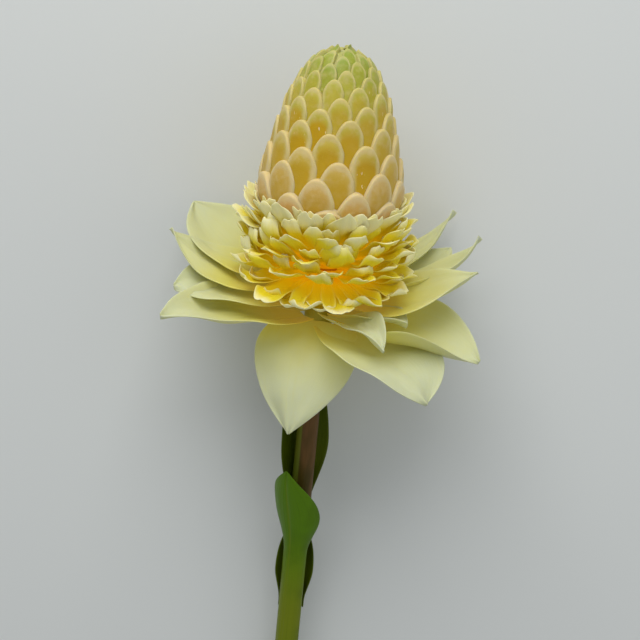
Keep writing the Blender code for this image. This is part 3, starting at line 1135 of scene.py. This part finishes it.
@dataclass
class Ruffle:
    """Rows of small waved petals round the foot of the cone."""

    rows: tuple[RuffleRow, ...] = (
        RuffleRow(
            count=16, root=-0.0364, reach=0.0488, height=-0.0020, launch=34, arrival=62,
            width=0.0168, droop=0.002, tuck=0.00, curl=0.0000, wave=0.0014,
            fillers=22, inner=0.895, filling=0.0000, cream=0.16,
        ),
        RuffleRow(
            count=15, root=-0.0400, reach=0.0525, height=-0.0160, launch=24, arrival=44,
            width=0.0140, droop=0.000, tuck=0.00, curl=0.0054, wave=0.0018,
            fillers=20, inner=0.90, filling=0.0055, cream=0.05,
        ),
        RuffleRow(
            count=14, root=-0.0434, reach=0.0545, height=-0.0265, launch=15, arrival=32,
            width=0.0145, droop=0.001, tuck=0.03, curl=0.0060, wave=0.0022,
            fillers=18, inner=0.90, filling=0.0050, cream=0.00,
        ),
        RuffleRow(
            count=13, root=-0.0469, reach=0.0550, height=-0.0355, launch=6, arrival=24,
            width=0.0160, droop=0.004, tuck=0.08, curl=0.0060, wave=0.0024,
            fillers=16, inner=0.90, filling=0.0045, cream=0.00,
        ),
        RuffleRow(
            count=14, root=-0.0504, reach=0.0550, height=-0.0450, launch=-3, arrival=12,
            width=0.0190, droop=0.013, tuck=0.14, curl=0.0045, wave=0.0030,
            fillers=14, inner=0.90, filling=-0.0010, cream=0.06,
        ),
    )
    across: int = 8
    along: int = 10
    root_reach: float = 0.0110
    cup: float = 0.14
    crease: float = 0.0008
    crinkle: float = 0.0020
    thickness: float = 0.0006
    collar_height: float = 0.0024
    collar_overlap: float = 0.0025
    collar_sides: int = 32
    filler_rise: float = 0.0010
    filler_launch: float = 4.0
    filler_arrival: float = 12.0
    seed: int = 5

    def collar(self, root: float) -> bmesh.types.BMesh:
        """Model the ring round the core that one row grows from.

        Args:
            root: Height of the row's roots.

        Returns:
            An open band.
        """
        low, high = root - self.collar_height / 2, root + self.collar_height / 2
        shape = bmesh.new()
        shape.loops.layers.uv.new("blade")
        middle = (self.root_reach + self.collar_overlap + CORE_RADIUS + SEAT_GAP) / 2
        turned_round(shape, ((low, middle), (high, middle)), self.collar_sides)
        return shape

    def petal(self, row: RuffleRow, azimuth: float, draw: random.Random) -> Blade:
        """Work out one petal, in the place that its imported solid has.

        Args:
            row: The row that it stands in.
            azimuth: Its direction from the axis, in degrees.
            draw: Source of chance.

        Returns:
            The petal's form.
        """
        facing = math.cos(math.radians(azimuth))
        reach = row.reach * draw.uniform(0.97, 1.02) * (1 - row.tuck * max(-facing, 0.0))
        height = row.height - row.droop * max(facing, 0.0) + draw.uniform(-0.001, 0.001)
        width = row.width * draw.uniform(0.94, 1.05)
        twist = draw.uniform(-14, 14)
        root = (self.root_reach, row.root)
        shade = random.Random(round(azimuth * 100) + row.count)
        return Blade(
            azimuth=azimuth,
            line=CentreLine(root, (reach, height), row.launch, row.arrival),
            width=width,
            outline=Outline.RUFFLE,
            cup=self.cup,
            twist=twist,
            wave=row.wave * shade.uniform(0.6, 1.3),
            waves=shade.uniform(1.4, 2.4),
            phase=shade.random(),
            curl=row.curl * shade.uniform(-0.3, 1.4),
            curl_start=shade.uniform(0.60, 0.78),
            crease=self.crease,
            notch=shade.uniform(-0.04, 0.12),
            arch=shade.uniform(0.05, 0.15),
            bluntness=3.0,
            crinkle=self.crinkle,
        )

    def filler(self, row: RuffleRow, azimuth: float, draw: random.Random) -> Blade:
        """Work out a narrower petal that stands between two of the row.

        Args:
            row: The row that it stands in.
            azimuth: Its direction from the axis, in degrees.
            draw: Source of chance.

        Returns:
            The petal's form.
        """
        petal = self.petal(row, azimuth, draw)
        root, tip = Vector(petal.line.root), Vector(petal.line.tip)
        tip.x *= row.inner * draw.uniform(0.95, 1.05)
        tip.y += row.filling * draw.uniform(0.6, 1.2)
        raised = (root.x, root.y + self.filler_rise)
        launch, arrival = row.launch + self.filler_launch, row.arrival + self.filler_arrival
        line = CentreLine(raised, tuple(tip), launch, arrival)
        return replace(petal, line=line, width=petal.width * draw.uniform(0.78, 1.0))

    def build(self) -> list[bpy.types.Object]:
        """Build the rows.

        Returns:
            One piece for each row.
        """
        draw, shade = random.Random(self.seed), random.Random(self.seed + 1)
        finish = PetalFinish(
            name="ruffle_petals",
            root=paint(238, 178, 20),
            body=paint(242, 210, 14),
            blade=paint(242, 224, 52),
            tip=paint(250, 244, 184),
            stops=(0.08, 0.32, 0.84, 1.06),
            vein=0.25,
            # The next value is the strength of the painted glow near the petals' roots
            painted_glow=0.18,
        ).material()
        made = []
        for number, row in enumerate(self.rows, start=1):
            gathered = Gathering()
            gathered.take(self.collar(row.root))
            for index in range(row.count):
                turn = 360.0 / row.count * (index + 0.5 * (number % 2))
                azimuth = turn + draw.uniform(-2.5, 2.5)
                petal = self.petal(row, azimuth, draw)
                patch = petal.patch(self.across, self.along, shade.random(), row.cream)
                gathered.take(patch.shape)
            for index in range(row.fillers):
                turn = 360.0 / row.fillers * (index + 0.25) + shade.uniform(-5, 5)
                petal = self.filler(row, turn, shade)
                patch = petal.patch(self.across, self.along, shade.random(), row.cream)
                gathered.take(patch.shape)
            name = f"ruffle_petals_{number}"
            piece = gathered.piece(name, finish, "ruffle_petals", f"ruffle_row_{number}")
            made.append(thickened(piece, self.thickness))
        return made


@dataclass(frozen=True)
class Bract:
    """A large bract: its centre line and blade, then how it faces, curls and ends.

    Lengths are in metres and angles in degrees. The root and the tip, at a reach from the
    stalk's axis and a height, are joined by a line that leaves at the angle launch and ends
    at the angle arrival. Clearance is how far over the table it stays.
    """

    azimuth: float
    root: float
    reach: float
    height: float
    launch: float
    arrival: float
    width: float
    cup: float
    twist: float
    clearance: float = 0.0
    face: float = 0.0
    claw: float = 0.36
    widest: float = 0.48
    bluntness: float = 2.0
    lip: float = 0.0
    curl: float = 0.0
    wave: float = 0.0016
    pale: float = 0.0


@dataclass
class Bracts:
    """Large bracts that spread under the ruffle."""

    bracts: dict[str, Bract] = field(
        default_factory=lambda: {
            "front": Bract(
                -12, -0.0752, 0.0500, -0.1298, -16, -84, 0.059, -0.10, 0,
                claw=0.85, widest=0.27, pale=0.3,
            ),
            "front_right": Bract(
                44, -0.0785, 0.0892, -0.0995, -18, -56, 0.060, 0.08, 6,
                claw=0.42, bluntness=3.0, pale=0.2,
            ),
            "right_low": Bract(
                74, -0.0755, 0.0950, -0.0860, -6, -26, 0.058, 0.16, 12, face=12, lip=-0.5
            ),
            "right_inner": Bract(
                58, -0.0724, 0.0580, -0.0670, 0, -16, 0.030, 0.16, 0, bluntness=2.6
            ),
            "front_inner": Bract(
                32, -0.0725, 0.0690, -0.0738, -8, -36, 0.019, 0.20, 0,
                claw=0.7, lip=0.8, pale=0.4,
            ),
            "right": Bract(
                84, -0.0665, 0.0866, -0.0384, -2, 36, 0.048, 0.10, 6, face=14, bluntness=1.5
            ),
            "right_upper": Bract(
                104, -0.0630, 0.0950, -0.0270, 0, 52, 0.021, 0.18, 0,
                bluntness=1.4, curl=0.004,
            ),
            "back_right_low": Bract(
                120, -0.0720, 0.0860, -0.0400, -4, 36, 0.042, 0.10, 0, 0.0040,
                face=18, bluntness=3.4,
            ),
            "back_right": Bract(
                126, -0.0580, 0.0925, -0.0200, 0, 58, 0.022, 0.14, 0, 0.0065, bluntness=1.4
            ),
            "under_right": Bract(161, -0.0685, 0.0760, -0.0380, 0, 40, 0.044, 0.04, 0),
            "under_left": Bract(-165, -0.0650, 0.0760, -0.0340, 2, 40, 0.044, 0.04, 0),
            "back_left": Bract(
                -120, -0.0580, 0.0920, -0.0270, 0, 48, 0.054, 0.12, 0, 0.0065,
                face=-14, bluntness=3.4,
            ),
            "back_left_low": Bract(
                -118, -0.0740, 0.0850, -0.0470, -6, 32, 0.040, 0.08, 0, 0.0040,
                face=-10, bluntness=2.8,
            ),
            "left": Bract(
                -97, -0.0615, 0.0893, -0.0355, -2, 50, 0.047, 0.10, 0, face=-11, bluntness=1.5
            ),
            "left_low": Bract(
                -82, -0.0665, 0.0830, -0.0632, 2, -12, 0.047, 0.04, 0,
                face=-8, bluntness=3.2, lip=-0.3,
            ),
            "front_left": Bract(
                -60, -0.0745, 0.0975, -0.0695, -10, -8, 0.050, 0.08, -4,
                claw=0.5, face=4, lip=-0.5,
            ),
        }
    )
    across: int = 16
    along: int = 28
    root_reach: float = CORE_RADIUS + SEAT_GAP + 0.0003
    crease: float = 0.0008
    crinkle: float = 0.0030
    thickness: float = 0.0007
    seed: int = 21

    def settle(self, shape: bmesh.types.BMesh, clearance: float) -> None:
        """Bend what would go through the table so that it lies on it, or just over it.

        Args:
            shape: The bract's sheet.
            clearance: How far over the table it stays.
        """
        least = self.thickness / 2 + clearance
        back = PLACE.inverted()
        for vert in shape.verts:
            placed = PLACE @ vert.co
            if placed.z < least:
                placed.z = least
                vert.co = back @ placed

    def build(self) -> list[bpy.types.Object]:
        """Build the bracts.

        Returns:
            One piece for each bract.
        """
        draw = random.Random(self.seed)
        finish = PetalFinish(
            name="bract_petals",
            root=paint(220, 190, 40),
            body=paint(212, 204, 102),
            blade=paint(208, 208, 150),
            tip=paint(203, 207, 168),
            stops=(0.18, 0.42, 0.66, 0.98),
            vein=0.12,
            glow=0.35,
            # The next value is the strength of the painted glow near the bracts' roots
            painted_glow=0.10,
        ).material()
        made = []
        for name, bract in self.bracts.items():
            root, tip = (self.root_reach, bract.root), (bract.reach, bract.height)
            blade = Blade(
                azimuth=bract.azimuth,
                line=CentreLine(root, tip, bract.launch, bract.arrival),
                width=bract.width,
                outline=Outline.BRACT,
                cup=bract.cup,
                twist=bract.twist,
                face=bract.face,
                lip=bract.lip,
                claw=bract.claw,
                widest=bract.widest,
                bluntness=bract.bluntness,
                wave=bract.wave,
                waves=draw.uniform(1.0, 1.6),
                phase=draw.random(),
                curl=bract.curl,
                crease=self.crease,
                crinkle=self.crinkle,
            )
            patch = blade.patch(self.across, self.along, draw.random(), bract.pale)
            self.settle(patch.shape, bract.clearance)
            gathered = Gathering()
            gathered.take(patch.shape)
            node = f"bract_{name}"
            piece = gathered.piece(f"{node}_petal", finish, "bract_petals", node)
            made.append(thickened(piece, self.thickness))
        return made


@dataclass(frozen=True)
class Leaf:
    """A leaf that wraps the stem at its base and opens into a cupped blade.

    It starts at the height base, opens at the height opening and ends at the height tip.
    There its middle stands off the stalk's axis by lean, and its blade is curved to the
    radius belly. At its base it holds the stem at the radius hold, wrap degrees each way.
    """

    azimuth: float
    base: float
    opening: float
    tip: float
    width: float
    belly: float
    lean: float
    wrap: float
    hold: float
    sway: float = 0.0006
    sways: float = 9.0
    groove: float = 0.0005
    groove_reach: float = 0.08
    unfolding: float = 0.45
    taper_start: float = 0.42
    taper_power: float = 2.1
    point_width: float = 0.0008

    def point(self, side: float, along: float) -> Vector:
        """Place one point of the leaf's sheet.

        Args:
            side: Place across, from -1 to 1.
            along: Place along, from 0 at the base to 1 at the tip.

        Returns:
            The point in the flower's own frame.
        """
        height = self.base + (self.tip - self.base) * along
        length = self.tip - self.opening
        spread = eased(self.opening, self.opening + self.unfolding * length, height)
        beyond = max((height - self.opening) / length, 0.0)
        arc = self.hold + (self.belly - self.hold) * spread
        wrapped = self.hold * math.radians(self.wrap)
        half = wrapped + (self.width / 2 - wrapped) * spread
        towards_tip = max((beyond - self.taper_start) / (1.0 - self.taper_start), 0.0)
        half *= 1.0 - towards_tip**self.taper_power
        half = max(half, self.point_width / 2)
        stand = self.hold + (self.lean - self.hold) * eased(self.opening, self.tip, height)
        stand += self.sway * math.sin(self.sways * beyond) * spread * side
        angle = side * half / arc
        outward, around = radial(self.azimuth), sideways(self.azimuth)
        midrib = self.groove * bump(side, 0.0, self.groove_reach) * spread
        reach = stand - arc + arc * math.cos(angle) - midrib
        return outward * reach + around * (arc * math.sin(angle)) + AXIAL * height


@dataclass
class Leaves:
    """Three leaves on the stem: one on the upper side, and two behind it."""

    leaves: dict[str, Leaf] = field(
        default_factory=lambda: {
            "front": Leaf(
                -30, -0.3025, -0.2230, -0.1660, 0.040, 0.0150, 0.0190, wrap=98, hold=0.0070
            ),
            "back_upper": Leaf(
                -150, -0.2060, -0.2000, -0.0960, 0.038, 0.0190, 0.0130, wrap=70, hold=0.0070
            ),
            "back_lower": Leaf(
                180, -0.2640, -0.2600, -0.2080, 0.030, 0.0120, 0.0120, wrap=66, hold=0.0083
            ),
        }
    )
    across: int = 16
    along: int = 36
    thickness: float = 0.0009

    def build(self) -> list[bpy.types.Object]:
        """Build the leaves.

        Returns:
            One piece for each leaf.
        """
        light = LeafFinish(
            "leaf_light",
            base=paint(112, 124, 16),
            blade=paint(84, 122, 2),
            edge=paint(62, 86, 4),
        )
        dark = LeafFinish(
            "leaf_dark",
            base=paint(84, 98, 8),
            blade=paint(76, 92, 6),
            edge=paint(54, 66, 6),
            gloss=0.40,
        )
        finishes = {"leaf_light": light.material(), "leaf_dark": dark.material()}
        made = []
        for name, leaf in self.leaves.items():
            slot = "leaf_light" if name == "front" else "leaf_dark"
            gathered = Gathering()
            patch = Patch(self.across, self.along, 0.5).bend(leaf.point)
            gathered.take(patch.shape)
            piece = gathered.piece(f"leaf_{name}_blade", finishes[slot], slot, f"leaf_{name}")
            made.append(thickened(piece, self.thickness))
        return made


@dataclass
class Stem:
    """Stem with its cut end and one joint, thicker where the head is seated."""

    joint: float = -0.3050
    joint_reach: float = 0.0022
    joint_flat: float = 0.0006
    joint_swell: float = 0.0007
    chamfer: float = 0.0004
    neck: float = 0.0130
    pinhole: float = 0.0003
    sides: int = 40
    longest: float = 0.02
    cuts: int = 9
    even_end: float = 0.002
    swell: float = 0.018
    swells: float = 60.0

    def outline(self) -> list[Pair]:
        """Draw half of the stem's section.

        Returns:
            Heights and radii from the cut end to the foot of the cone.
        """
        return [
            (STEM_END, self.pinhole),
            (STEM_END, STEM_RADIUS - self.chamfer),
            (STEM_END + self.chamfer, STEM_RADIUS),
            (self.joint - self.joint_reach, STEM_RADIUS),
            (self.joint - self.joint_flat, STEM_RADIUS + self.joint_swell),
            (self.joint + self.joint_flat, STEM_RADIUS + self.joint_swell),
            (self.joint + self.joint_reach, STEM_RADIUS),
            (CORE_BOTTOM - self.neck, STEM_RADIUS),
            (CORE_BOTTOM, CORE_RADIUS),
            (CORE_TOP, CORE_RADIUS),
            (CORE_TOP, self.pinhole),
        ]

    def build(self) -> list[bpy.types.Object]:
        """Build the stem.

        Returns:
            The stem's one piece.
        """
        shape = bmesh.new()
        turned_round(shape, self.outline(), self.sides)
        bmesh.ops.remove_doubles(shape, verts=shape.verts[:], dist=TINY)
        long_edges = [edge for edge in shape.edges if edge.calc_length() > self.longest]
        bmesh.ops.subdivide_edges(shape, edges=long_edges, cuts=self.cuts, use_grid_fill=True)
        bmesh.ops.holes_fill(shape, edges=shape.edges[:], sides=self.sides)
        bmesh.ops.recalc_face_normals(shape, faces=shape.faces[:])
        self._wander(shape)
        self._map(shape)
        gathered = Gathering()
        gathered.take(shape)
        return [gathered.piece("stem_skin_coat", StemFinish().material(), "stem_skin", "stem")]

    def _wander(self, shape: bmesh.types.BMesh) -> None:
        """Let the stem's radius vary a little, as a moulded stem's does.

        Args:
            shape: The stem.
        """
        for vert in shape.verts:
            if STEM_END + self.even_end < vert.co.y < CORE_BOTTOM:
                swell = 1.0 + self.swell * noise.noise(vert.co * self.swells)
                vert.co.x *= swell
                vert.co.z *= swell

    def _map(self, shape: bmesh.types.BMesh) -> None:
        """Write the UV map: once round the stem, and from its cut end to the cone.

        Args:
            shape: The stem.
        """
        uv = shape.loops.layers.uv.new("blade")
        for face in shape.faces:
            middle = face.calc_center_median()
            for loop in face.loops:
                spot = loop.vert.co
                turn = math.atan2(spot.x, spot.z)
                centre = math.atan2(middle.x, middle.z)
                turn += FULL_TURN * round((centre - turn) / FULL_TURN)
                along = (spot.y - STEM_END) / (CORE_TOP - STEM_END)
                loop[uv].uv = (turn / FULL_TURN + 0.5, along)


@dataclass(frozen=True)
class Lamp:
    """A soft square light that points at the middle of the table."""

    name: str
    place: tuple[float, float, float]
    power: float
    size: float
    color: Color

    def hang(self) -> None:
        """Hang the light."""
        data = bpy.data.lights.new(self.name, "AREA")
        data.energy = self.power
        data.size = self.size
        data.color = self.color
        place = Vector(self.place)
        made = bpy.data.objects.new(self.name, data)
        made.location = place
        made.rotation_mode = "QUATERNION"
        made.rotation_quaternion = (-place).to_track_quat("-Z", "Y")
        bpy.context.scene.collection.objects.link(made)


@dataclass
class Studio:
    """Camera, lights and table."""

    distance: float = 0.85
    elevation: float = 18.0
    roll: float = 5.5
    metres_per_pixel: float = 0.00057
    aim: tuple[float, float, float] = (0.0012, -0.0780, 0.0)
    sensor: float = 36.0
    nearest: float = 0.05
    half_table: float = 4.0
    lamps: tuple[Lamp, ...] = (
        Lamp("key", (-0.25, 1.20, 0.80), 15.0, 1.3, (1.0, 0.99, 0.97)),
        Lamp("fill", (0.90, 0.20, 1.00), 2.0, 1.3, (0.97, 0.99, 1.0)),
    )
    sky: Color = (0.86, 0.89, 0.92)
    sky_strength: float = 0.43

    def camera(self) -> None:
        """Look down on the flower, slightly from the side of the cone's tip."""
        lean = math.radians(self.elevation)
        turn = PLACE.to_3x3()
        back = (turn @ Vector((0, math.sin(lean), math.cos(lean)))).normalized()
        right = (turn @ AXIAL).cross(back).normalized()
        basis = Matrix((right, back.cross(right), back)).transposed().to_4x4()
        place = basis @ Matrix.Rotation(math.radians(self.roll), 4, "Z")
        place.translation = PLACE @ Vector(self.aim) + back * self.distance
        data = bpy.data.cameras.new("view")
        data.sensor_width = self.sensor
        half_view = HALF_FRAME * self.metres_per_pixel
        data.lens = self.sensor / 2 * self.distance / half_view
        data.clip_start = self.nearest
        made = bpy.data.objects.new("view", data)
        made.matrix_world = place
        bpy.context.scene.collection.objects.link(made)
        bpy.context.scene.camera = made

    def table(self) -> None:
        """Make the tabletop that the flower lies on."""
        shape = bmesh.new()
        bmesh.ops.create_grid(shape, x_segments=4, y_segments=4, size=self.half_table)
        mesh = bpy.data.meshes.new("table_top")
        shape.to_mesh(mesh)
        shape.free()
        mesh.materials.append(TableFinish().material())
        made = bpy.data.objects.new("table_top", mesh)
        bpy.context.scene.collection.objects.link(made)

    def build(self) -> None:
        """Set up the camera, the table, the lights and the light of the room."""
        self.camera()
        self.table()
        for lamp in self.lamps:
            lamp.hang()
        world = bpy.data.worlds.new("room")
        world.use_nodes = True
        sky = world.node_tree.nodes["Background"]
        sky.inputs["Color"].default_value = (*self.sky, 1.0)
        sky.inputs["Strength"].default_value = self.sky_strength
        bpy.context.scene.world = world
        bpy.context.scene.view_settings.view_transform = "Standard"


def main() -> None:
    """Build the studio and every piece of the flower."""
    logging.basicConfig(level=logging.INFO, format="%(message)s")
    Studio().build()
    made = []
    for part in (Cone(), Ruffle(), Bracts(), Leaves(), Stem()):
        pieces = part.build()
        made += pieces
        LOG.info("%s: %d pieces", type(part).__name__, len(pieces))
    bpy.context.view_layer.update()
    LOG.info("%d pieces in all", len(made))


if __name__ == "__main__":
    main()
